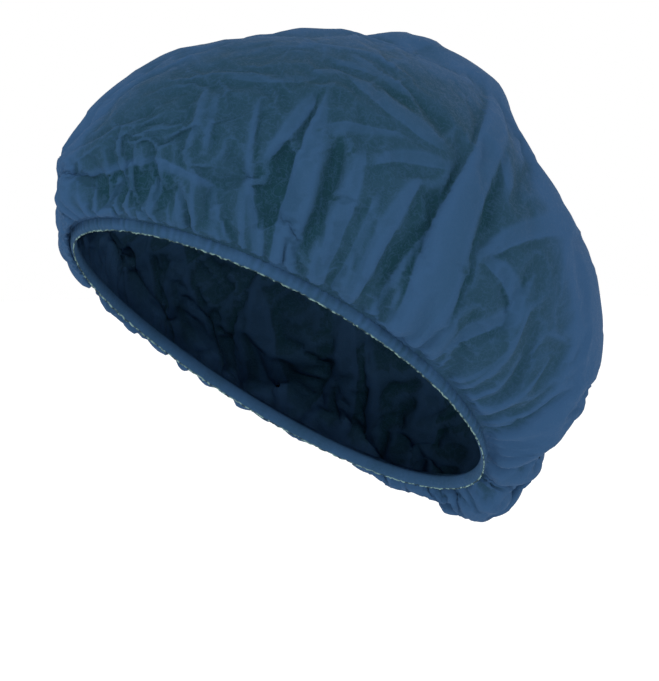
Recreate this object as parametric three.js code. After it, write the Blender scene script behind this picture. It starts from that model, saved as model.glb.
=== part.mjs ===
// A disposable hairnet: a bouffant cap of thin nonwoven cloth, gathered all round into an elastic hem.
// Millimetres and degrees, +Z up. The origin is the centre of the head opening, the wearer faces -Y,
// and an angle round the cap runs from 0 at the forehead through 90 at the wearer's left ear to 180
// at the nape. A rise runs along each section of the cap, from 0 at the hem to 1 at the crown's middle.
import * as THREE from "three";

// Head opening: an oval hem that lies across the forehead, over the ears and under the nape.
const HEM_HALF_WIDTH = 77;
const HEM_HALF_LENGTH = 91.5;
const HEM_TILT = 57.5; // how far the forehead lies above the opening's middle, and the nape below it
const HEM_ARCH = 4; // how far the hem arches up at the ears

// Elastic hem: a flat gathered band.
const BAND_HEIGHT = 5;
const BAND_THICKNESS = 2.4;
const BAND_SCALLOP = 0.4; // how far each gather stands out of the band
const BAND_CHAMFER = 0.7;

// Bouffant cloth.
const CLOTH_WALL = 1.5;
const SEAM_GAP = 0.3; // between the cloth's lower edge and the band
const CROWN_MIDDLE = new THREE.Vector3(0, 21, 133);

// Sections of the bag, one for each eighth of the way round. From the hem a section starts outwards by
// skirtOut and up by skirtRise, and it comes over the top from crownReach outside the crown's middle,
// crownLift above it. These are the handles of one cubic curve.
const SECTIONS = [
  { at: "front", skirtOut: 30, skirtRise: 24, crownReach: 93, crownLift: 8 },
  { at: "front left", skirtOut: 30, skirtRise: 34, crownReach: 92, crownLift: 9 },
  { at: "left", skirtOut: 58, skirtRise: 20, crownReach: 98, crownLift: 11 },
  { at: "back left", skirtOut: 84, skirtRise: -6, crownReach: 112, crownLift: 14 },
  { at: "back", skirtOut: 80, skirtRise: -88, crownReach: 116, crownLift: 22 },
  { at: "back right", skirtOut: 84, skirtRise: -6, crownReach: 112, crownLift: 14 },
  { at: "right", skirtOut: 57, skirtRise: 0, crownReach: 95, crownLift: 9 },
  { at: "front right", skirtOut: 20, skirtRise: 0, crownReach: 80, crownLift: 8 },
];

// Main folds of the wearer's left side. Each runs along a curve through three places, given as
// [angle, rise], and stands out of the bag by height, or dips into it where that is below zero.
const LEFT_FOLDS = [
  { name: "apex rib down", from: [56, 0.55], via: [54, 0.3], to: [52, 0.05], width: 8, height: 5 },
  { name: "apex rib left", from: [54, 0.56], via: [49, 0.43], to: [44, 0.28], width: 5, height: 3.5 },
  { name: "apex rib right", from: [60, 0.66], via: [73, 0.57], to: [87, 0.5], width: 7, height: 4.5 },
  { name: "side panel", from: [128, 0.75], via: [91, 0.46], to: [86, 0.06], width: 18, height: 7 },
  { name: "temple rib", from: [40, 0.5], via: [42, 0.3], to: [46, 0.06], width: 4, height: 3.5 },
  { name: "side rib front", from: [66, 0.45], via: [64, 0.29], to: [60, 0.06], width: 4, height: 3.5 },
  { name: "side rib back", from: [79, 0.42], via: [73, 0.3], to: [68, 0.03], width: 5, height: 4 },
  { name: "front crease right", from: [-8, 0.2], via: [8, 0.2], to: [20, 0.25], width: 4, height: 4 },
  { name: "front crease left", from: [20, 0.25], via: [27, 0.21], to: [36, 0.19], width: 4, height: 4 },
  { name: "front rib", from: [26, 0.56], via: [29, 0.41], to: [29, 0.27], width: 5, height: 2.5 },
  { name: "back rib", from: [102, 0.63], via: [102, 0.54], to: [100, 0.45], width: 6, height: 4 },
  { name: "back swoop", from: [134, 0.5], via: [104, 0.4], to: [93, 0.28], width: 9, height: 6 },
  { name: "ear swoop", from: [101, 0.27], via: [98, 0.17], to: [92, 0.04], width: 7, height: 5 },
  { name: "back swell", from: [118, 0.46], via: [133, 0.36], to: [140, 0.12], width: 20, height: 6 },
  { name: "crown fold", from: [80, 0.8], via: [112, 0.84], to: [142, 0.83], width: 6, height: 6 },
  { name: "temple hollow", from: [49, 0.36], via: [49, 0.25], to: [48, 0.1], width: 8, height: -3 },
  { name: "side hollow", from: [83, 0.42], via: [79, 0.3], to: [75, 0.15], width: 8, height: -3 },
  { name: "panel hollow", from: [97, 0.6], via: [95, 0.47], to: [92, 0.36], width: 6, height: -4 },
  { name: "ear hollow", from: [110, 0.36], via: [109, 0.26], to: [114, 0.14], width: 12, height: -4 },
  { name: "nape hollow", from: [146, 0.32], via: [148, 0.22], to: [150, 0.06], width: 4, height: -6 },
  { name: "low nape hollow", from: [158, 0.28], via: [159, 0.17], to: [161, 0.04], width: 4, height: -6 },
];

// Plain folds of the back and the right side, spaced evenly and leaning in turn to either side.
const PLAIN_FOLDS = { first: 152, last: 342, count: 13, width: 9, height: 5, lean: 9, foot: 0.04 };
const PLAIN_FOLD_TOPS = [0.78, 0.5, 0.66, 0.42]; // the rises that they reach, taken in turn

// Fine gathers that the elastic draws up.
const GATHERS = { count: 36, height: 3.2, full: 0.06 };
const GATHER_TOPS = [0.34, 0.2, 0.27]; // the rises at which they fade out, taken in turn

// Fineness of the faceted solids.
const COLUMNS = 108;
const CLOTH_ROWS = 21;
const ROW_CROWDING = 1.25; // above 1, rows crowd towards the hem, where the folds are deepest
const FOLD_STEPS = 12;
const FOLD_FLANK = 6.5; // over what distance a fold's side comes down

const UP = new THREE.Vector3(0, 0, 1);
const radians = THREE.MathUtils.degToRad;
const { smoothstep } = THREE.MathUtils;

// A column of SECTIONS at an angle, on a smooth curve through all the sections.
function sectionSize(column, angle) {
  const count = SECTIONS.length;
  const place = ((angle / 360) * count + count) % count;
  const row = Math.floor(place);
  const rows = [-1, 0, 1, 2].map((step) => SECTIONS[(row + step + count) % count]);
  const [before, here, next, after] = rows.map((section) => section[column]);
  const share = place - row;
  const bend = 2 * before - 5 * here + 4 * next - after;
  const twist = 3 * here - before - 3 * next + after;
  return here + 0.5 * share * (next - before + share * (bend + share * twist));
}

// The middle of the hem at an angle, with the direction along it, up across it and out of it.
function hemAt(angle) {
  const [sine, cosine] = [Math.sin(radians(angle)), Math.cos(radians(angle))];
  const middle = new THREE.Vector3(
    HEM_HALF_WIDTH * sine,
    -HEM_HALF_LENGTH * cosine,
    HEM_TILT * cosine + HEM_ARCH * sine * sine,
  );
  const along = new THREE.Vector3(
    HEM_HALF_WIDTH * cosine,
    HEM_HALF_LENGTH * sine,
    -HEM_TILT * sine + 2 * HEM_ARCH * sine * cosine,
  ).normalize();
  const across = UP.clone().addScaledVector(along, -along.z).normalize();
  const out = new THREE.Vector3().crossVectors(along, across);
  return { middle, across, out };
}

// A place on the bag before it is folded: a cubic curve from the hem over to the crown's middle.
function smoothBag(angle, rise) {
  const outwards = new THREE.Vector3(Math.sin(radians(angle)), -Math.cos(radians(angle)), 0);
  const { middle, across, out } = hemAt(angle);
  const start = middle
    .addScaledVector(across, BAND_HEIGHT / 2 + SEAM_GAP)
    .addScaledVector(out, BAND_THICKNESS / 2 + BAND_SCALLOP + SEAM_GAP);
  const skirt = start
    .clone()
    .addScaledVector(outwards, sectionSize("skirtOut", angle))
    .addScaledVector(UP, sectionSize("skirtRise", angle));
  const crown = CROWN_MIDDLE.clone()
    .addScaledVector(outwards, sectionSize("crownReach", angle))
    .addScaledVector(UP, sectionSize("crownLift", angle));
  return new THREE.CubicBezierCurve3(start, skirt, crown, CROWN_MIDDLE).getPoint(rise);
}

// The direction out of the smooth bag.
function bagNormal(angle, rise) {
  const step = 0.01;
  const [low, high] = [Math.max(0, rise - step), Math.min(1 - step, rise + step)];
  const round = smoothBag(angle + 1, high).sub(smoothBag(angle - 1, high));
  const upwards = smoothBag(angle, high).sub(smoothBag(angle, low));
  return round.cross(upwards).normalize();
}

// The plain folds as rows like those of LEFT_FOLDS.
function plainFolds() {
  const { first, last, count, width, height, lean, foot } = PLAIN_FOLDS;
  return Array.from({ length: count }, (_, i) => {
    const angle = first + ((last - first) * i) / (count - 1);
    const top = PLAIN_FOLD_TOPS[i % PLAIN_FOLD_TOPS.length];
    const side = i % 2 ? lean : -lean;
    return {
      from: [angle + side, top],
      via: [angle, (foot + top) / 2],
      to: [angle - side / 2, foot],
      width,
      height,
    };
  });
}

// Points along a fold's curve, on the smooth bag.
function foldPath({ from, via, to }) {
  return Array.from({ length: FOLD_STEPS + 1 }, (_, i) => {
    const share = i / FOLD_STEPS;
    const weights = [(1 - share) * (1 - 2 * share), 4 * share * (1 - share), share * (2 * share - 1)];
    const [angle, rise] = [0, 1].map((k) => weights[0] * from[k] + weights[1] * via[k] + weights[2] * to[k]);
    return smoothBag(angle, rise);
  });
}

const folds = [...LEFT_FOLDS, ...plainFolds()].map((fold) => ({ ...fold, path: foldPath(fold) }));

// How far one fold moves a place on the bag.
function foldHeight({ path, width, height }, place) {
  const onPath = new THREE.Vector3();
  let nearest = Infinity;
  let along = 0;
  for (let i = 0; i < FOLD_STEPS; i++) {
    const piece = new THREE.Line3(path[i], path[i + 1]);
    const share = piece.closestPointToPointParameter(place, true);
    const distance = piece.at(share, onPath).distanceTo(place);
    if (distance < nearest) {
      nearest = distance;
      along = (i + share) / FOLD_STEPS;
    }
  }
  const taper = Math.sqrt(Math.sin(Math.PI * along));
  const flank = 1 - smoothstep(nearest, width / 2 - FOLD_FLANK / 2, width / 2 + FOLD_FLANK);
  return height * taper * flank;
}

// How far the gathers stand out.
function gatherHeight(angle, rise) {
  const wave = (angle / 360) * GATHERS.count;
  const top = GATHER_TOPS[Math.round(wave) % GATHER_TOPS.length];
  const fade = smoothstep(rise, 0, GATHERS.full) * (1 - smoothstep(rise, GATHERS.full, top));
  return GATHERS.height * fade * Math.max(0, Math.cos(2 * Math.PI * wave));
}

// Ridges meet in sharp valleys, so the highest one counts at each place, and the deepest hollow with it.
function clothHeight(angle, rise, place) {
  const heights = folds.map((fold) => foldHeight(fold, place));
  return Math.max(gatherHeight(angle, rise), ...heights) + Math.min(0, ...heights);
}

// A closed surface over rings of points: each ring is joined to the next, and the last to the first.
function ringGeometry(rings) {
  const count = rings[0].length;
  const faces = rings.flatMap((_, r) => {
    const next = (r + 1) % rings.length;
    return rings[r].flatMap((_, c) => {
      const [a, b] = [r * count + c, r * count + ((c + 1) % count)];
      const [d, e] = [next * count + c, next * count + ((c + 1) % count)];
      return [a, b, e, a, e, d];
    });
  });
  return new THREE.BufferGeometry().setFromPoints(rings.flat()).setIndex(faces);
}

const columnAngles = Array.from({ length: COLUMNS }, (_, c) => (360 * c) / COLUMNS);

// The cloth: an outer skin of rings up to the crown's middle, and an inner one a wall below it.
function crownGeometry() {
  const [outer, inner] = [[], []];
  for (let r = 0; r < CLOTH_ROWS; r++) {
    const rise = (r / CLOTH_ROWS) ** ROW_CROWDING;
    const places = columnAngles.map((angle) => {
      const place = smoothBag(angle, rise);
      const normal = bagNormal(angle, rise);
      return { face: place.clone().addScaledVector(normal, clothHeight(angle, rise, place)), normal };
    });
    outer.push(places.map(({ face }) => face));
    inner.push(places.map(({ face, normal }) => face.clone().addScaledVector(normal, -CLOTH_WALL)));
  }
  const skin = ringGeometry([...outer, ...inner.reverse()]);
  return closeCrown(skin, CLOTH_ROWS);
}

// Replaces the strip between the two topmost rings by a fan on either side of the crown's middle.
function closeCrown(skin, rows) {
  const strip = 6 * COLUMNS;
  const top = rows - 1;
  const points = skin.getAttribute("position").array;
  const [outerMiddle, innerMiddle] = [points.length / 3, points.length / 3 + 1];
  const faces = Array.from(skin.getIndex().array);
  faces.splice(top * strip, strip);
  for (let c = 0; c < COLUMNS; c++) {
    const next = (c + 1) % COLUMNS;
    faces.push(top * COLUMNS + c, top * COLUMNS + next, outerMiddle);
    faces.push(rows * COLUMNS + next, rows * COLUMNS + c, innerMiddle);
  }
  const under = CROWN_MIDDLE.clone().addScaledVector(UP, -CLOTH_WALL);
  const middles = [...CROWN_MIDDLE.toArray(), ...under.toArray()];
  const position = new THREE.BufferAttribute(new Float32Array([...points, ...middles]), 3);
  return new THREE.BufferGeometry().setAttribute("position", position).setIndex(faces);
}

// The elastic hem: a chamfered section swept round the opening, scalloped by its gathers.
function bandGeometry() {
  const [half, deep] = [BAND_HEIGHT / 2, BAND_THICKNESS / 2];
  const section = [
    { out: deep - BAND_CHAMFER, up: -half, scalloped: 0 },
    { out: deep, up: BAND_CHAMFER - half, scalloped: 1 },
    { out: deep, up: half - BAND_CHAMFER, scalloped: 1 },
    { out: deep - BAND_CHAMFER, up: half, scalloped: 0 },
    { out: BAND_CHAMFER - deep, up: half, scalloped: 0 },
    { out: -deep, up: half - BAND_CHAMFER, scalloped: 0 },
    { out: -deep, up: BAND_CHAMFER - half, scalloped: 0 },
    { out: BAND_CHAMFER - deep, up: -half, scalloped: 0 },
  ];
  const rings = section.map(({ out, up, scalloped }) =>
    columnAngles.map((angle) => {
      const hem = hemAt(angle);
      const wave = Math.max(0, Math.cos(radians(angle * GATHERS.count)));
      return hem.middle
        .addScaledVector(hem.out, out + scalloped * wave * BAND_SCALLOP)
        .addScaledVector(hem.across, up);
    }),
  );
  return ringGeometry(rings);
}

function named(name, geometry, material) {
  const mesh = new THREE.Mesh(geometry, material);
  mesh.name = name;
  return mesh;
}

const cloth = new THREE.MeshStandardMaterial({ color: 0x33567a, roughness: 0.85, metalness: 0 });
const elastic = new THREE.MeshStandardMaterial({ color: 0x2e4f70, roughness: 0.9, metalness: 0 });

const hairnet = new THREE.Group();
hairnet.add(named("crown", crownGeometry(), cloth));
hairnet.add(named("elastic_band", bandGeometry(), elastic));

export default hairnet;
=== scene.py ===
"""Dresses a disposable hairnet: a bouffant cap of thin blue nonwoven cloth, gathered into an elastic hem.

Lengths are millimetres until a mesh is made, and angles are degrees. An angle runs round the cap, from 0 at
the forehead through 90 at the wearer's left ear to 180 at the nape. A rise runs along each section of the
cap, from 0 at the hem to 1 at the crown's middle.
"""
from collections import namedtuple

import bpy
import numpy as np
from mathutils import Matrix, Vector


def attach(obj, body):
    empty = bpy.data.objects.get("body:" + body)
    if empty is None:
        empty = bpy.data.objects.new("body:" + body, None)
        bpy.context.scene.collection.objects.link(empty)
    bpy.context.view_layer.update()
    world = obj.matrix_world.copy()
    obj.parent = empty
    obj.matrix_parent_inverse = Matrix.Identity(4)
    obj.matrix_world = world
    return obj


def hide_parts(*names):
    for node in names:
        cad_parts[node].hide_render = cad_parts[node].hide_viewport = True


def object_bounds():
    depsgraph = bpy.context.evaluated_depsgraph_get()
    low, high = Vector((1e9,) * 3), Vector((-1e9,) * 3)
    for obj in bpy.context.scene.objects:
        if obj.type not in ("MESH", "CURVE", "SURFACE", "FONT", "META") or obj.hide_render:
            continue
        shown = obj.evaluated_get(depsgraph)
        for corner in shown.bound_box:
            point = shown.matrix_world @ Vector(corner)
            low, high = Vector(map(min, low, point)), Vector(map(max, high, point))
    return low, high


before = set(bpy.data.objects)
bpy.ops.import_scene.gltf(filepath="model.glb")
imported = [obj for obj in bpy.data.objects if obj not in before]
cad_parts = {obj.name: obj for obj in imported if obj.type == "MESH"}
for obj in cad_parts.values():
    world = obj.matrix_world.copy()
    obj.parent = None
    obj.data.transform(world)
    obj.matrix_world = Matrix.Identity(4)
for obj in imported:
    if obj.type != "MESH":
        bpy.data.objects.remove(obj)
cad_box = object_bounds()

METRE = 0.001

# Photograph: its frame, and the camera that took it.
PHOTO_WIDTH = 659
PHOTO_HEIGHT = 681
ORIGIN_PIXEL = (281.6, 358.0)
PIXELS_PER_MM = 2.4
CAMERA_AZIMUTH = 47
CAMERA_ELEVATION = 3
CAMERA_DISTANCE = 1300
SENSOR = 36

# Head opening and elastic hem.
HEM_HALF_WIDTH = 77
HEM_HALF_LENGTH = 91.5
HEM_TILT = 57.5
HEM_ARCH = 4
BAND_HEIGHT = 5
BAND_THICKNESS = 2.4
BAND_SCALLOP = 0.4
SEAM_GAP = 0.3

# Bouffant cloth: a round cut, gathered into the hem.
CLOTH_THICKNESS = 0.35
CROWN_MIDDLE = np.array([0, 21, 133])

# Sections of the bag, one for each eighth of the way round, from the front through the wearer's left.
Section = namedtuple("Section", "skirt_out skirt_rise crown_reach crown_lift")
SECTIONS = (
    Section(30, 24, 93, 8),
    Section(30, 34, 92, 9),
    Section(58, 20, 98, 11),
    Section(84, -6, 112, 14),
    Section(80, -88, 116, 22),
    Section(84, -6, 112, 14),
    Section(57, 0, 95, 9),
    Section(20, 0, 80, 8),
)

# A fold runs along a curve through three places, each an (angle, rise), and has its own width at each.
Fold = namedtuple("Fold", "start middle end widths height")

# Ribs: pleats that lie flat, so that the cloth is doubled along them.
RIBS = {
    "apex down": Fold((57, 0.60), (54, 0.30), (52, 0.02), (2, 9, 10), 2.6),
    "apex left": Fold((54, 0.57), (49, 0.43), (44, 0.28), (4, 5, 1), 2.2),
    "apex right": Fold((60, 0.66), (73, 0.57), (87, 0.50), (6, 8, 8), 1.8),
    "apex knot": Fold((50, 0.62), (56, 0.64), (62, 0.66), (2, 3, 2), 1.2),
    "side panel": Fold((128, 0.75), (91, 0.46), (86, 0.04), (7, 13, 22), 5.0),
    "side front": Fold((66, 0.46), (64, 0.29), (60, 0.03), (2, 6, 6), 2.2),
    "side middle": Fold((70, 0.36), (68, 0.23), (65, 0.03), (1, 3, 3), 1.4),
    "side back": Fold((79, 0.42), (73, 0.30), (68, 0.02), (1, 6, 4), 2.6),
    "side last": Fold((86, 0.37), (79, 0.24), (75, 0.03), (1, 2, 2), 1.6),
    "cross front": Fold((54, 0.42), (64, 0.48), (78, 0.50), (5, 4, 1), 1.6),
    "cross back": Fold((67, 0.38), (74, 0.45), (88, 0.47), (1, 5, 6), 1.8),
    "temple": Fold((40, 0.52), (42, 0.30), (46, 0.02), (1, 2, 3), 2.2),
    "front high": Fold((-12, 0.20), (6, 0.21), (22, 0.25), (1, 2, 3), 3.0),
    "front low": Fold((17, 0.25), (27, 0.21), (40, 0.17), (4, 3, 1), 3.0),
    "front first": Fold((24, 0.56), (28, 0.41), (27, 0.27), (1, 3, 1), 1.4),
    "front second": Fold((28, 0.55), (31, 0.40), (32, 0.25), (1, 2, 1), 1.2),
    "brow first": Fold((10, 0.19), (7, 0.12), (2, 0.03), (1, 3, 3), 1.4),
    "brow second": Fold((22, 0.20), (20, 0.12), (16, 0.03), (2, 4, 3), 1.6),
    "brow third": Fold((28, 0.20), (27, 0.12), (25, 0.03), (2, 3, 2), 1.4),
    "brow fourth": Fold((35, 0.20), (36, 0.13), (35, 0.04), (1, 2, 2), 1.2),
    "back": Fold((102, 0.63), (102, 0.54), (100, 0.45), (2, 5, 2), 2.2),
    "back swoop": Fold((138, 0.50), (106, 0.42), (91, 0.26), (10, 8, 5), 3.0),
    "back hook": Fold((89, 0.31), (102, 0.27), (100, 0.16), (6, 7, 6), 2.8),
    "ear swoop": Fold((104, 0.25), (97, 0.15), (92, 0.02), (6, 7, 5), 2.6),
    "ear crease": Fold((108, 0.35), (103, 0.24), (108, 0.10), (1, 2, 1), 1.4),
    "top left": Fold((54, 0.63), (43, 0.57), (24, 0.57), (4, 3, 1), 1.0),
    "top right": Fold((55, 0.69), (65, 0.69), (76, 0.67), (1, 4, 2), 1.4),
    "top back": Fold((61, 0.75), (72, 0.68), (82, 0.61), (2, 4, 2), 1.4),
    "crown": Fold((78, 0.80), (112, 0.845), (142, 0.83), (3, 6, 6), 2.5),
}

# Swells stand off the head in a broad bulge, and hollows, below zero, lie back between the ribs. Their
# heights also paint shade into the hollows and lighten the swells.
SWELLS = {
    "back swell": Fold((114, 0.58), (125, 0.38), (136, 0.04), (26, 38, 30), 3.0),
    "temple hollow": Fold((49, 0.40), (49, 0.25), (48, 0.05), (8, 14, 8), -4.2),
    "side hollow": Fold((83, 0.42), (79, 0.30), (75, 0.12), (10, 14, 8), -1.8),
    "panel hollow": Fold((97, 0.62), (95, 0.47), (92, 0.34), (8, 12, 8), -1.4),
    "ear swell": Fold((110, 0.36), (110, 0.24), (114, 0.10), (12, 20, 12), 0.8),
    "front hollow": Fold((-4, 0.13), (12, 0.15), (28, 0.16), (8, 13, 8), -3.0),
    "middle hollow": Fold((61, 0.44), (59.5, 0.30), (57, 0.08), (5, 7, 5), -2.0),
    "top hollow": Fold((70, 0.66), (80, 0.60), (92, 0.56), (6, 12, 6), -2.0),
}

# Swells and hollows of the outline, which leave the cloth's colour as it is.
OUTLINE = {
    "crown": Fold((126, 0.95), (132, 0.81), (134, 0.69), (22, 25, 18), 5.0),
    "back": Fold((132, 0.71), (133, 0.59), (134, 0.47), (20, 36, 22), -8.0),
    "front": Fold((338, 0.36), (343, 0.57), (345, 0.80), (22, 26, 20), 3.0),
    "brow": Fold((338, 0.34), (343, 0.20), (346, 0.06), (16, 22, 16), 2.5),
    "top": Fold((0, 0.90), (60, 0.95), (110, 0.92), (14, 18, 14), 2.5),
    "nape": Fold((142, 0.40), (146, 0.26), (149, 0.04), (14, 27, 14), -6.5),
    "low nape": Fold((158, 0.32), (160, 0.2), (162, 0.03), (10, 17, 10), -6.0),
}

# Plain ribs of the sides that the photograph doesn't show.
HIDDEN_FIRST = 146
HIDDEN_LAST = 348
HIDDEN_RIBS = 26
HIDDEN_TOPS = (0.34, 0.58, 0.42, 0.70, 0.26, 0.50)
HIDDEN_LEAN = 8
HIDDEN_WIDTHS = ((1, 6, 4), (2, 9, 6), (1, 4, 3), (3, 12, 8))
HIDDEN_HEIGHT = 2.6

# Gathers that the elastic draws up, and small creases all over.
GATHERS = 92
GATHER_HEIGHT = (0.9, 2.4)
GATHER_TOP = (0.07, 0.30)
CREASES = 170
CREASE_LENGTH = (10, 38)
CREASE_HEIGHT = (0.3, 0.9)
CREASE_WIDTH = 1.6

# Gathering: how much fuller than the bag the cloth starts, at each rise, before a simulation draws it up.
FULLNESS = ((0, 0.13), (0.3, 0.11), (0.6, 0.06), (1, 0.04))
# The seen side is calmer than the rest: the angle at its middle, and both sides' shares of that fullness.
CALM_MIDDLE = 48
CALM_REACH = (60, 110)
CALM_SHARE = 0.6
FULL_SHARE = 1.4
SIMULATION_SCALE = 0.01
DRAWN_BY = 8
SETTLED_BY = 18
HOLD = 0.1
CLOTH_SETTINGS = {
    "quality": 8,
    "mass": 0.3,
    "tension_stiffness": 40,
    "compression_stiffness": 40,
    "shear_stiffness": 12,
    "bending_stiffness": 0.12,
    "tension_damping": 5,
    "compression_damping": 5,
    "shear_damping": 5,
    "bending_damping": 0.5,
    "air_damping": 1,
    "pin_stiffness": 1,
    "use_pressure": True,
    "uniform_pressure_force": 0.3,
}
BULGE_STEPS = 300
FOLD_STEPS = 60
CREASE_STEPS = 4
RIBS_AFTER = 0.5
RIB_RELIEF = 0.4
SOFT_EDGE = 0.35

# Painted shade: the cloth is painted darker where it faces this way, or the opposite way, and lighter
# towards the outlines between.
SHADED_FACING = (0.73, -0.68, 0.05)

# Lift sets the colour, from 0, darkest, to 1, lightest. On the bag it holds painted shade where the cloth
# faces the side above, on the top, in hollows and in fold valleys, and painted highlight on swells, on fold
# ridges and towards the outlines; the hem's lift is its own even tone.
FACING_SHADE = 0.62
TOP_SHADE = 0.2
SWELL_SHADE_DEPTH = 8
FOLD_SHADE = 0.035
BAND_LIFT = 0.8

# Depth inside a doubled edge, where there is no doubled cloth near.
NO_LAYERS = -9.0
# A section's length, about, from the hem to the crown's middle.
SECTION_LENGTH = 220
# The cloth's rim goes this far down behind the hem's top, and this far in from its face.
TUCK_DOWN = 1.4
TUCK_IN = 0.6
# Fine pleats round the hem, in runs that mix, their depth, and how far the cut edge frays.
BAND_PLEATS = (118, 143, 171, 207)
PLEAT_DEPTH = 0.55
FRAY_LENGTH = 0.9

# Fineness of the meshes.
CLOTH_COLUMNS = 400
CLOTH_ROWS = 112
HALVED_AT = (0.72, 0.86, 0.95)
BAND_COLUMNS = 1200
PATH_STEPS = 20
SEED = 7

# Colours of the cloth: its painted shade, single, and doubled, which is also its painted highlight, and of
# its cut edge.
SHADED_CLOTH = (0.0075, 0.033, 0.050, 1)
SINGLE_CLOTH = (0.0145, 0.045, 0.078, 1)
DOUBLED_AND_LIT_CLOTH = (0.026, 0.070, 0.150, 1)
FRAYED_EDGE = (0.20, 0.32, 0.30, 1)
DARK_EDGE = (0.016, 0.034, 0.040, 1)

# Studio: a pale floor below the part, in metres, and soft lights.
FLOOR_DROP = 0.2
FLOOR_HALF = 6.0
FLOOR_GLOW = 0.2
# Each light: how far to the right, up and towards the camera it stands, in metres, its size and its power.
LIGHTS = {
    "key": ((-0.9, 0.9, 1.2), 0.6, 8),
    "fill": ((1.2, 0.3, 1.2), 1.0, 3),
    "rim": ((0.8, 0.9, -1.0), 0.7, 3),
}


def smoothstep(low, high, value):
    """From 0 at the low value to 1 at the high one, level at both ends."""
    share = np.clip((value - low) / (high - low), 0, 1)
    return share * share * (3 - 2 * share)


def unit(vectors):
    """Each vector at a length of 1."""
    return vectors / np.linalg.norm(vectors, axis=-1, keepdims=True)


def section_sizes(angle):
    """The columns of SECTIONS at each angle, on a smooth curve through all the sections."""
    table = np.array(SECTIONS, float)
    place = np.mod(angle / 360 * len(table), len(table))
    row = np.floor(place).astype(int)
    share = (place - row)[..., None]
    before, here, after, last = (table[(row + step) % len(table)] for step in (-1, 0, 1, 2))
    bend = 2 * before - 5 * here + 4 * after - last
    twist = 3 * here - before - 3 * after + last
    return here + 0.5 * share * (after - before + share * (bend + share * twist))


def hem_at(angle):
    """The middle of the hem at each angle, and the directions up across it and out of it."""
    sine, cosine = np.sin(np.radians(angle)), np.cos(np.radians(angle))
    middle = np.stack(
        [HEM_HALF_WIDTH * sine, -HEM_HALF_LENGTH * cosine, HEM_TILT * cosine + HEM_ARCH * sine**2], -1
    )
    along = unit(
        np.stack(
            [HEM_HALF_WIDTH * cosine, HEM_HALF_LENGTH * sine, (2 * HEM_ARCH * cosine - HEM_TILT) * sine], -1
        )
    )
    across = unit(np.array([0, 0, 1]) - along * along[..., 2:])
    return middle, across, np.cross(along, across)


def smooth_bag(angle, rise):
    """Places on the bag before it is folded: a cubic curve from the hem over to the crown's middle."""
    angle, rise = np.broadcast_arrays(np.asarray(angle, float), np.asarray(rise, float))
    up = np.array([0, 0, 1])
    outwards = np.stack([np.sin(np.radians(angle)), -np.cos(np.radians(angle)), 0 * angle], -1)
    middle, across, out = hem_at(angle)
    start = middle + across * (BAND_HEIGHT / 2 + SEAM_GAP)
    start = start + out * (BAND_THICKNESS / 2 + BAND_SCALLOP + SEAM_GAP)
    skirt_out, skirt_rise, reach, lift = (section_sizes(angle)[..., k : k + 1] for k in range(4))
    skirt = start + outwards * skirt_out + up * skirt_rise
    crown = CROWN_MIDDLE + outwards * reach + up * lift
    up_it = rise[..., None]
    down_it = 1 - up_it
    low_half = down_it**2 * (down_it * start + 3 * up_it * skirt)
    return low_half + up_it**2 * (3 * down_it * crown + up_it * CROWN_MIDDLE)


def bag_normals(angle, rise):
    """Directions out of the smooth bag, and how many millimetres a degree is there."""
    step = 0.004
    rise = np.clip(rise, step, 1 - 2 * step)
    round_it = smooth_bag(angle + 0.5, rise) - smooth_bag(angle - 0.5, rise)
    upwards = smooth_bag(angle, rise + step) - smooth_bag(angle, rise - step)
    return unit(np.cross(round_it, upwards)), np.linalg.norm(round_it, axis=-1)


def through_three(first, second, third, share):
    """A curve through three values, at 0, a half and 1."""
    weights = ((1 - share) * (1 - 2 * share), 4 * share * (1 - share), share * (2 * share - 1))
    return sum(w[:, None] * np.atleast_1d(v) for w, v in zip(weights, (first, second, third)))


def beside(fold, points, normals, reach):
    """The points within reach of a fold, how far each is to the left of it, and its share of the length."""
    share = np.linspace(0, 1, PATH_STEPS + 1)
    angle, rise = through_three(np.array(fold.start), np.array(fold.middle), np.array(fold.end), share).T
    path = smooth_bag(angle, np.clip(rise, 0, 1))
    near = np.flatnonzero(((points > path.min(0) - reach) & (points < path.max(0) + reach)).all(1))
    distance = np.full(len(near), np.inf)
    along = np.zeros(len(near))
    side = np.zeros(len(near))
    for step in range(PATH_STEPS):
        piece = path[step + 1] - path[step]
        offset = points[near] - path[step]
        part = np.clip(offset @ piece / (piece @ piece), 0, 1)
        here = np.linalg.norm(offset - part[:, None] * piece, axis=1)
        closer = here < distance
        distance[closer] = here[closer]
        along[closer] = (step + part[closer]) / PATH_STEPS
        side[closer] = (np.cross(piece, offset) * normals[near]).sum(1)[closer]
    return near, distance * np.where(side < 0, -1, 1), along


def end_taper(fold, along, length=0.25):
    """Folds run out to nothing at their ends, unless the end is held by the hem."""
    held = 0.05
    start = 1 if fold.start[1] < held else np.clip(along / length, 0, 1)
    end = 1 if fold.end[1] < held else np.clip((1 - along) / length, 0, 1)
    return start * end


def hidden_ribs(draw):
    """Plain ribs over the back and the right side, in the manner of those that the photograph shows."""
    ribs = []
    for i, angle in enumerate(np.linspace(HIDDEN_FIRST, HIDDEN_LAST, HIDDEN_RIBS)):
        foot = angle + draw.uniform(-2, 2)
        top = HIDDEN_TOPS[i % len(HIDDEN_TOPS)] * draw.uniform(0.85, 1.15)
        lean = HIDDEN_LEAN * draw.uniform(-1, 1)
        widths = HIDDEN_WIDTHS[i % len(HIDDEN_WIDTHS)]
        ends = (foot + lean, top), (foot + lean * draw.uniform(0, 0.6), top / 2), (foot, 0.02)
        ribs.append(Fold(*ends, widths, HIDDEN_HEIGHT * draw.uniform(0.6, 1.2)))
    return ribs


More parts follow.
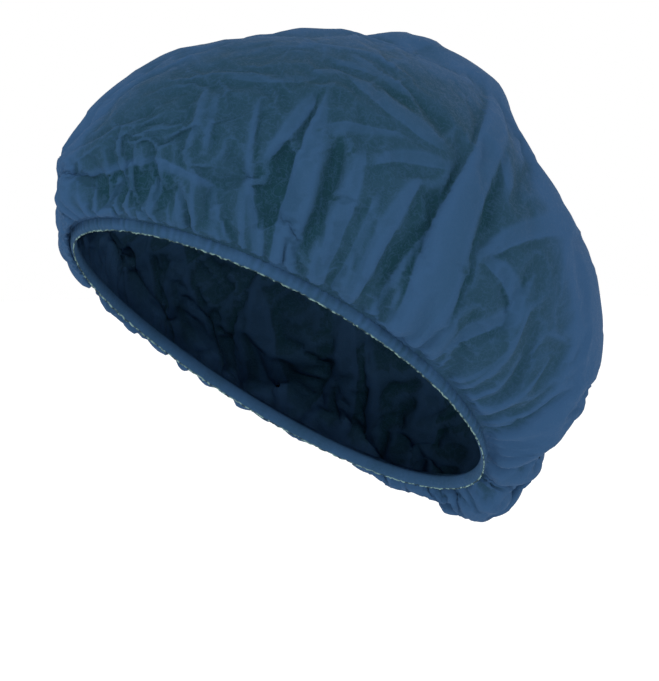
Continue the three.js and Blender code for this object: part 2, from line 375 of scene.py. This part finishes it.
def small_creases(draw):
    """Short creases scattered over the cloth, most of them along the sections."""
    creases = []
    for _ in range(CREASES):
        angle, rise = draw.uniform(0, 360), draw.uniform(0.08, 0.9)
        _, degree = bag_normals(np.array([angle]), np.array([rise]))
        length = draw.uniform(*CREASE_LENGTH)
        lean = np.radians(draw.normal(0, 35))
        turn = length * np.sin(lean) / degree[0] / 2
        climb = length * np.cos(lean) / SECTION_LENGTH / 2
        bow = draw.normal(0, 0.15) * length / degree[0]
        start, end = (angle - turn, max(rise - climb, 0.06)), (angle + turn, min(rise + climb, 0.95))
        middle = (angle + bow, (start[1] + end[1]) / 2)
        creases.append(Fold(start, middle, end, (0, 1, 0), draw.uniform(*CREASE_HEIGHT)))
    return creases


def gather_field(draw, angle, rise, degree):
    """Height of the gathers, and how far each place lies inside a gather's doubled edge."""
    height = np.zeros(len(angle))
    layers = np.full(len(angle), NO_LAYERS)
    pitch = 360 / GATHERS
    for i in range(GATHERS):
        foot = (i + draw.uniform(-0.35, 0.35)) * pitch
        top = draw.uniform(*GATHER_TOP)
        drift = draw.normal(0, 14)
        tall = draw.uniform(*GATHER_HEIGHT)
        wide = draw.uniform(0.55, 0.95) * pitch
        off = np.abs(np.mod(angle - foot - drift * rise + 180, 360) - 180)
        fade = smoothstep(0, 0.025, rise) * (1 - smoothstep(0.3 * top, top, rise))
        near = off < wide
        tent = (1 - off[near] / wide) ** 1.3
        height[near] = np.maximum(height[near], tall * fade[near] * tent)
        inside = 0.16 * wide * degree[near] * fade[near] - off[near] * degree[near] - 0.1
        layers[near] = np.maximum(layers[near], inside)
    return height, layers


Relief = namedtuple("Relief", "soft ribs layers share swell")


def fold_cloth(angle, rise, points, normals, degree):
    """How far the cloth stands out in soft folds and in ribs, how far inside a rib's edge each place lies,
    how plainly that rib shows there, with painted shade on one side of each rib, and the swells alone."""
    draw = np.random.default_rng(SEED)
    soft, layers = gather_field(draw, angle, rise, degree)
    share = np.full(len(angle), 0.5)
    ribs = np.zeros(len(angle))
    for i, fold in enumerate([*RIBS.values(), *hidden_ribs(draw)]):
        near, offset, along = beside(fold, points, normals, max(fold.widths) + 8)
        taper = end_taper(fold, along)
        fade = smoothstep(0, 1, taper)
        half = through_three(*fold.widths, along)[:, 0].clip(0.6) / 2 * taper**0.8
        lean = offset / half * (-1) ** i
        inside = (half - np.abs(offset)) * np.where(lean > 0, SOFT_EDGE, 1)
        # Painted shade across each rib: the doubled colour is weaker on one side than on the other.
        plain_and_shaded = fade * np.clip(0.2 + fold.height / 4, 0.3, 1) * (0.85 - 0.15 * lean.clip(-1, 1))
        ribs[near] = np.maximum(ribs[near], fold.height * fade * smoothstep(-2.2, 0.8, inside))
        nearest = near[inside > layers[near]]
        share[nearest] = plain_and_shaded[inside > layers[near]]
        layers[near] = np.maximum(layers[near], inside)
    swell, outline = np.zeros(len(angle)), np.zeros(len(angle))
    for field, folds in ((swell, SWELLS), (outline, OUTLINE)):
        for fold in folds.values():
            near, offset, along = beside(fold, points, normals, max(fold.widths))
            off = np.abs(offset) / through_three(*fold.widths, along)[:, 0].clip(1)
            fade = smoothstep(0, 1, end_taper(fold, along))
            field[near] += fold.height * fade * (1 - smoothstep(0, 1, off))
    crease = np.zeros(len(angle))
    for fold in small_creases(draw):
        near, offset, along = beside(fold, points, normals, 4 * CREASE_WIDTH)
        ridge = np.exp(-np.abs(offset) / CREASE_WIDTH) * np.sin(np.pi * along)
        crease[near] = np.maximum(crease[near], fold.height * ridge)
    return Relief(soft + swell + outline, RIB_RELIEF * ribs + crease, layers, share, swell)


def cloth_rings():
    """Angles and rises of the cloth's rings, with fewer columns towards the crown's middle."""
    rings = []
    for rise in np.arange(CLOTH_ROWS) / CLOTH_ROWS:
        columns = CLOTH_COLUMNS >> sum(rise > halved for halved in HALVED_AT)
        rings.append((360 * np.arange(columns) / columns, np.full(columns, rise)))
    return rings


def join_rings(counts):
    """Faces between rings that have the same number of points, or half as many, up to one last point."""
    faces = []
    first = 0
    for count, following in zip(counts, [*counts[1:], 1]):
        second = first + count
        if following == 1:
            faces += [(first + i, first + (i + 1) % count, second) for i in range(count)]
        elif following == count:
            for i in range(count):
                j = (i + 1) % count
                faces.append((first + i, first + j, second + j, second + i))
        else:
            for i in range(following):
                j = (i + 1) % following
                a, b, c = first + 2 * i, first + 2 * i + 1, first + (2 * i + 2) % count
                faces += [(a, b, second + i), (b, second + j, second + i), (b, c, second + j)]
        first = second
    return faces


def by_size(faces):
    """The faces as arrays of corners, one array for the triangles and one for the quads."""
    return [np.array([face for face in faces if len(face) == size]) for size in (3, 4)]


def vertex_normals(points, faces):
    """Unit normals at the points, from the faces around each."""
    normals = np.zeros_like(points)
    for corners in by_size(faces):
        first, second, third, last = (points[corners[:, k]] for k in (0, 1, 2, -1))
        across = np.cross(third - first, last - second)
        for k in range(corners.shape[1]):
            np.add.at(normals, corners[:, k], across)
    return unit(normals)


def evened(values, faces, steps):
    """Values evened out between neighbouring points, step after step."""
    turns = [np.stack([corners, np.roll(corners, -1, 1)], -1).reshape(-1, 2) for corners in by_size(faces)]
    pairs = np.concatenate([*turns, *(turn[:, ::-1] for turn in turns)])
    count = np.bincount(pairs[:, 0])
    columns = np.array(values, float).reshape(len(values), -1).T
    for _ in range(steps):
        columns = [(c + np.bincount(pairs[:, 0], c[pairs[:, 1]]) / count) / 2 for c in columns]
    return np.stack(columns, -1).reshape(np.shape(values))


def gathered(full, bag, faces, rise):
    """The cloth once a simulation has drawn it up from its full width onto the bag."""
    mesh = bpy.data.meshes.new("gathering")
    mesh.from_pydata((full * SIMULATION_SCALE).tolist(), [], faces)
    cloth = bpy.data.objects.new("gathering", mesh)
    bpy.context.scene.collection.objects.link(cloth)
    hold = cloth.vertex_groups.new(name="hold")
    hold.add(np.flatnonzero(rise > 0).tolist(), HOLD, "REPLACE")
    hold.add(np.flatnonzero(rise == 0).tolist(), 1, "REPLACE")
    cloth.shape_key_add(name="full")
    drawn = cloth.shape_key_add(name="drawn up")
    drawn.data.foreach_set("co", (bag * SIMULATION_SCALE).astype(np.float32).ravel())
    modifier = cloth.modifiers.new("gathering", "CLOTH")
    for name, value in CLOTH_SETTINGS.items():
        setattr(modifier.settings, name, value)
    modifier.settings.vertex_group_mass = "hold"
    modifier.settings.effector_weights.gravity = 0
    modifier.collision_settings.use_collision = False
    modifier.point_cache.frame_start = 1
    modifier.point_cache.frame_end = SETTLED_BY
    for value, step in ((0, 1), (1, DRAWN_BY)):
        drawn.value = value
        drawn.keyframe_insert("value", frame=step)
    for step in range(1, SETTLED_BY + 1):
        bpy.context.scene.frame_set(step)
    settled = cloth.evaluated_get(bpy.context.evaluated_depsgraph_get()).to_mesh()
    places = np.empty(3 * len(bag), np.float32)
    settled.vertices.foreach_get("co", places)
    bpy.data.actions.remove(mesh.shape_keys.animation_data.action)
    bpy.data.objects.remove(cloth)
    bpy.data.meshes.remove(mesh)
    bpy.context.scene.frame_set(1)
    return places.reshape(-1, 3).astype(float) / SIMULATION_SCALE


def closed_shell(points, faces, rim, thickness):
    """A sheet's points and faces, with an inner side a thickness below and an edge along the rim."""
    count = len(points)
    inner = points - thickness * vertex_normals(points, faces)
    backs = [tuple(count + v for v in reversed(face)) for face in faces]
    edge = [((i + 1) % rim, i, count + i, count + (i + 1) % rim) for i in range(rim)]
    return np.concatenate([points, inner]), [*faces, *backs, *edge]


def make_piece(name, points, faces, material, fields):
    """A smooth mesh object in metres, with a value for each point in each named field."""
    mesh = bpy.data.meshes.new(name)
    mesh.from_pydata((points * METRE).tolist(), [], faces)
    for field, values in fields.items():
        mesh.attributes.new(field, "FLOAT", "POINT").data.foreach_set("value", values.astype(np.float32))
    mesh.shade_smooth()
    mesh.materials.append(material)
    piece = bpy.data.objects.new(name, mesh)
    bpy.context.scene.collection.objects.link(piece)
    return piece


def tucked(points, faces, fields):
    """The cloth with one more ring at its rim, which goes down into the hem."""
    angle = 360 * np.arange(CLOTH_COLUMNS) / CLOTH_COLUMNS
    middle, across, out = hem_at(angle)
    ring = middle + across * (BAND_HEIGHT / 2 - TUCK_DOWN) + out * (BAND_THICKNESS / 2 - TUCK_IN)
    columns = np.arange(CLOTH_COLUMNS)
    following = (columns + 1) % CLOTH_COLUMNS
    rim = np.stack([columns, following, following + CLOTH_COLUMNS, columns + CLOTH_COLUMNS], 1)
    faces = [*map(tuple, rim.tolist()), *(tuple(CLOTH_COLUMNS + v for v in face) for face in faces)]
    fields = {name: np.concatenate([values[:CLOTH_COLUMNS], values]) for name, values in fields.items()}
    return np.concatenate([ring, points]), faces, fields


def make_crown(material):
    """The bag of cloth: laid out in folds, drawn up by the simulation and closed to a thin shell."""
    rings = cloth_rings()
    counts = [len(ring[0]) for ring in rings] + [1]
    angle = np.concatenate([ring[0] for ring in rings] + [[0]])
    rise = np.concatenate([ring[1] for ring in rings] + [[1]])
    places = smooth_bag(angle, rise)
    normals, degree = bag_normals(angle, rise)
    normals[-1] = (0, 0, 1)
    relief = fold_cloth(angle, rise, places, normals, degree)
    faces = join_rings(counts[:-1])
    free = smoothstep(0, 0.02, rise)
    bag = places + normals * (free * (relief.soft + (1 - RIBS_AFTER) * relief.ribs))[:, None]
    starts = np.cumsum([0, *counts[:-1]])
    middles = np.repeat(np.add.reduceat(bag, starts) / np.array(counts)[:, None], counts, axis=0)
    turn = np.abs(np.mod(angle - CALM_MIDDLE + 180, 360) - 180)
    share = CALM_SHARE + (FULL_SHARE - CALM_SHARE) * smoothstep(*CALM_REACH, turn)
    full = middles + (bag - middles) * (1 + share * np.interp(rise, *zip(*FULLNESS)))[:, None]
    cloth = gathered(full, bag, faces, rise)
    bulge = evened(((cloth - bag) * normals).sum(1), faces, BULGE_STEPS)
    cloth -= normals * (free * bulge)[:, None]
    cloth += vertex_normals(cloth, faces) * (free * RIBS_AFTER * relief.ribs)[:, None]
    out = vertex_normals(cloth, faces)
    # Painted shade in fold and crease valleys and painted highlight on their ridges, from how far each place
    # stands out of its smoothed surroundings.
    fold = ((cloth - evened(cloth, faces, FOLD_STEPS)) * out).sum(1)
    crease = ((cloth - evened(cloth, faces, CREASE_STEPS)) * out).sum(1)
    # Painted shade where the cloth faces the shaded side or away from it, lighter towards the outlines
    # between.
    side_shade = smoothstep(0.2, 0.8, np.abs(normals @ np.array(SHADED_FACING)))
    # Painted shade on the up-facing top of the cloth.
    top = smoothstep(0.5, 1, normals[:, 2])
    # Painted shade in hollows and fold valleys, painted highlight on swells and fold ridges.
    lift = 1 - FACING_SHADE * side_shade - TOP_SHADE * top + relief.swell / SWELL_SHADE_DEPTH + FOLD_SHADE * fold
    fields = {"layers": relief.layers, "share": relief.share, "lift": lift, "crease": crease}
    points, faces, fields = tucked(cloth, faces, fields)
    shell, sides = closed_shell(points, faces, CLOTH_COLUMNS, CLOTH_THICKNESS)
    fields = {name: np.tile(values, 2) for name, values in fields.items()}
    piece = make_piece("crown_cloth", shell, sides, material, fields)
    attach(piece, "root")
    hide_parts("crown")
    return piece


# A corner of the hem's section: its place out and up, and how far it is pleated and frayed, from 0 to 1.
Corner = namedtuple("Corner", "out up pleated frayed")


def make_band(material):
    """The hem: cloth drawn up in fine pleats over the elastic, with a frayed cut edge below."""
    draw = np.random.default_rng(SEED + 1)
    angle = 360 * np.arange(BAND_COLUMNS) / BAND_COLUMNS
    middle, across, out = hem_at(angle)
    waves = np.zeros(BAND_COLUMNS)
    drift = 1.5 * np.sin(np.radians(5 * angle))
    for pleats in BAND_PLEATS:
        waves += np.sin(np.radians(pleats * angle) + draw.uniform(0, 6.28) + drift)
    pleat = 0.5 + waves / 8
    fray = np.convolve(np.tile(draw.uniform(0, 1, BAND_COLUMNS), 3), (0.25, 0.5, 0.25), "same")
    fray = fray[BAND_COLUMNS : 2 * BAND_COLUMNS]
    half, deep = BAND_HEIGHT / 2, BAND_THICKNESS / 2
    section = (
        Corner(0.15, -half - 0.5, 0.5, 1.0),
        Corner(0.35, -half + 0.2, 0.6, 0.0),
        Corner(deep * 0.8, -half + 0.7, 0.8, 0.0),
        Corner(deep, -half + 1.8, 1.0, 0.0),
        Corner(deep, 0.2, 1.0, 0.0),
        Corner(deep, half - 1.2, 1.0, 0.0),
        Corner(deep * 0.85, half - 0.3, 0.9, 0.0),
        Corner(deep * 0.4, half + 0.2, 0.6, 0.0),
        Corner(-deep * 0.5, half, 0.2, 0.0),
        Corner(-deep, half - 0.8, 0.2, 0.0),
        Corner(-deep, -half + 0.8, 0.2, 0.0),
        Corner(-deep * 0.3, -half + 0.1, 0.2, 0.0),
        Corner(-0.1, -half - 0.45, 0.5, 1.0),
    )
    rings, edge = [], []
    for place, height, pleated, frayed in section:
        shift = place + PLEAT_DEPTH * pleated * (pleat - 0.5)
        drop = height - FRAY_LENGTH * frayed * fray
        rings.append(middle + out * shift[:, None] + across * drop[:, None])
        edge.append(np.full(BAND_COLUMNS, frayed))
    points = np.concatenate(rings)
    faces = []
    for r in range(len(section)):
        low, high = r * BAND_COLUMNS, (r + 1) % len(section) * BAND_COLUMNS
        for c in range(BAND_COLUMNS):
            following = (c + 1) % BAND_COLUMNS
            faces.append((low + c, low + following, high + following, high + c))
    even = np.ones(len(points))
    fields = {
        "fray": np.concatenate(edge),
        "layers": NO_LAYERS * even,
        "share": 0 * even,
        "lift": BAND_LIFT * even,
        # Painted highlight on the pleats' crests and painted shade in their troughs.
        "crease": np.concatenate([(pleat - 0.5) * corner.pleated for corner in section]),
    }
    piece = make_piece("hem_band", points, faces, material, fields)
    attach(piece, "root")
    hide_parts("elastic_band")
    return piece


class Nodes:
    """A short way to write a material's nodes."""

    def __init__(self, name):
        self.material = bpy.data.materials.new(name)
        self.material.use_nodes = True
        self.tree = self.material.node_tree
        self.shader = self.tree.nodes["Principled BSDF"]

    def add(self, kind, inputs=(), **settings):
        node = self.tree.nodes.new(kind)
        for name, value in settings.items():
            setattr(node, name, value)
        for key, value in dict(inputs).items():
            self.set(node.inputs[key], value)
        return node

    def set(self, socket, value):
        if isinstance(value, bpy.types.NodeSocket):
            self.tree.links.new(value, socket)
        else:
            socket.default_value = value

    def field(self, name):
        return self.add("ShaderNodeAttribute", attribute_name=name).outputs["Fac"]

    def math(self, operation, a, b=0.0, c=0.0):
        return self.add("ShaderNodeMath", {0: a, 1: b, 2: c}, operation=operation).outputs[0]

    def ramp(self, value, low, high, start=0.0, end=1.0):
        keys = {"Value": value, "From Min": low, "From Max": high, "To Min": start, "To Max": end}
        node = self.add("ShaderNodeMapRange", keys, interpolation_type="SMOOTHSTEP")
        return node.outputs["Result"]

    def mix(self, factor, a, b):
        node = self.add("ShaderNodeMix", data_type="RGBA")
        self.set(node.inputs["Factor"], factor)
        self.set(node.inputs[6], a)
        self.set(node.inputs[7], b)
        return node.outputs[2]

    def noise(self, place, scale, detail=2.0, roughness=0.5, distortion=0.0):
        keys = {
            "Vector": place,
            "Scale": scale,
            "Detail": detail,
            "Roughness": roughness,
            "Distortion": distortion,
        }
        return self.add("ShaderNodeTexNoise", keys).outputs["Fac"]


def cloth_material(name, frayed):
    """Spunbonded cloth: loose fibres on a cloudy ground, dark where single and lighter where doubled, with
    painted shade and painted highlights from the lift and crease fields.
    """
    nodes = Nodes(name)
    place = nodes.add("ShaderNodeTexCoord").outputs["Object"]
    hairs = []
    for scale, distortion, thin in ((210, 0.8, 0.03), (340, 0.6, 0.045), (150, 1.2, 0.018)):
        wave = nodes.noise(place, scale, 1.0, 0.5, distortion)
        off = nodes.math("ABSOLUTE", nodes.math("SUBTRACT", wave, 0.5))
        hairs.append(nodes.ramp(off, 0, thin, 1, 0))
    fibres = nodes.math("MAXIMUM", nodes.math("MAXIMUM", hairs[0], hairs[1]), hairs[2])
    cloud = nodes.noise(place, 60, 4.0, 0.6)
    crease = nodes.field("crease")
    lift = nodes.math("ADD", nodes.field("lift"), nodes.math("MULTIPLY_ADD", cloud, 0.5, -0.25))
    # Painted shade in crease valleys and painted highlight on crease ridges and pleat crests.
    lift = nodes.math("ADD", lift, nodes.math("MULTIPLY", crease, 0.25))
    # Painted shade: low lift takes the shaded colour, high lift the lighter one.
    single = nodes.mix(nodes.ramp(lift, 0.0, 0.5), SHADED_CLOTH, SINGLE_CLOTH)
    single = nodes.mix(nodes.ramp(lift, 0.5, 1.0), single, DOUBLED_AND_LIT_CLOTH)
    layers = nodes.field("layers")
    share = nodes.field("share")
    doubled = nodes.math("MULTIPLY", nodes.ramp(layers, -0.35, 0.35), share)
    edge = nodes.math("MULTIPLY", nodes.ramp(nodes.math("ABSOLUTE", layers), 0, 0.7, 0.4, 0), share)
    colour = nodes.mix(nodes.math("MULTIPLY", doubled, 0.85), single, DOUBLED_AND_LIT_CLOTH)
    colour = nodes.mix(edge, colour, DOUBLED_AND_LIT_CLOTH)
    # Painted highlight along crease ridges and pleat crests.
    colour = nodes.mix(nodes.ramp(crease, 0.08, 0.4, 0, 0.4), colour, DOUBLED_AND_LIT_CLOTH)
    strength = nodes.math("MULTIPLY_ADD", doubled, -0.2, 0.28)
    colour = nodes.mix(nodes.math("MULTIPLY", fibres, strength), colour, DOUBLED_AND_LIT_CLOTH)
    if frayed:
        threads = nodes.ramp(nodes.noise(place, 420, 2.0, 0.6), 0.4, 0.62)
        edge = nodes.mix(threads, DARK_EDGE, FRAYED_EDGE)
        colour = nodes.mix(nodes.ramp(nodes.field("fray"), 0.3, 1.0), colour, edge)
    nodes.set(nodes.shader.inputs["Base Color"], colour)
    nodes.set(nodes.shader.inputs["Roughness"], nodes.ramp(fibres, 0, 1, 0.9, 0.7))
    nodes.set(nodes.shader.inputs["Specular IOR Level"], 0.05)
    ground = nodes.math("MULTIPLY_ADD", fibres, 0.6, cloud)
    bump = nodes.add("ShaderNodeBump", {"Height": ground, "Strength": 0.25, "Distance": 0.0004})
    nodes.set(nodes.shader.inputs["Normal"], bump.outputs["Normal"])
    return nodes.material


def floor_material():
    """A pale matt floor that glows a little, so that no shadow edge shows."""
    nodes = Nodes("pale floor")
    nodes.set(nodes.shader.inputs["Base Color"], (0.9, 0.9, 0.9, 1))
    nodes.set(nodes.shader.inputs["Roughness"], 0.9)
    nodes.set(nodes.shader.inputs["Emission Color"], (1, 1, 1, 1))
    nodes.set(nodes.shader.inputs["Emission Strength"], FLOOR_GLOW)
    return nodes.material


def camera_axes():
    """Directions to the right, up and back towards the camera, in the photograph's view."""
    azimuth, elevation = np.radians([CAMERA_AZIMUTH, CAMERA_ELEVATION])
    level = np.array([np.sin(azimuth), -np.cos(azimuth), 0])
    back = level * np.cos(elevation) + np.array([0, 0, np.sin(elevation)])
    right = np.array([np.cos(azimuth), np.sin(azimuth), 0])
    return right, np.cross(back, right), back


def make_camera():
    """The camera, placed so that the part's origin falls on its own pixel."""
    right, up, back = camera_axes()
    aside = (PHOTO_WIDTH / 2 - ORIGIN_PIXEL[0]) / PIXELS_PER_MM
    above = (ORIGIN_PIXEL[1] - PHOTO_HEIGHT / 2) / PIXELS_PER_MM
    place = right * aside + up * above + back * CAMERA_DISTANCE
    data = bpy.data.cameras.new("camera")
    data.sensor_width = SENSOR
    data.lens = SENSOR * CAMERA_DISTANCE * PIXELS_PER_MM / max(PHOTO_WIDTH, PHOTO_HEIGHT)
    camera = bpy.data.objects.new("camera", data)
    turn = Matrix(np.stack([right, up, back], 1).tolist()).to_4x4()
    camera.matrix_world = Matrix.Translation(Vector(place * METRE)) @ turn
    bpy.context.scene.collection.objects.link(camera)
    bpy.context.scene.camera = camera


def make_stage():
    """The floor, the white surroundings and the lights."""
    low = cad_box[0][2] - FLOOR_DROP
    corners = [(x * FLOOR_HALF, y * FLOOR_HALF, low) for x, y in ((-1, -1), (1, -1), (1, 1), (-1, 1))]
    mesh = bpy.data.meshes.new("floor")
    mesh.from_pydata(corners, [], [(0, 1, 2, 3)])
    mesh.materials.append(floor_material())
    floor = bpy.data.objects.new("floor", mesh)
    bpy.context.scene.collection.objects.link(floor)
    world = bpy.data.worlds.new("studio")
    world.use_nodes = True
    world.node_tree.nodes["Background"].inputs["Color"].default_value = (1, 1, 1, 1)
    world.node_tree.nodes["Background"].inputs["Strength"].default_value = 1.0
    bpy.context.scene.world = world
    bpy.context.scene.view_settings.view_transform = "Standard"
    axes = np.stack(camera_axes(), 1)
    for name, (place, size, power) in LIGHTS.items():
        data = bpy.data.lights.new(name, "AREA")
        data.size = size
        data.energy = power
        light = bpy.data.objects.new(name, data)
        light.location = axes @ np.array(place)
        light.rotation_euler = (-Vector(light.location)).to_track_quat("-Z", "Y").to_euler()
        bpy.context.scene.collection.objects.link(light)


make_camera()
make_stage()
crown = make_crown(cloth_material("nonwoven cloth", False))
band = make_band(cloth_material("gathered hem", True))
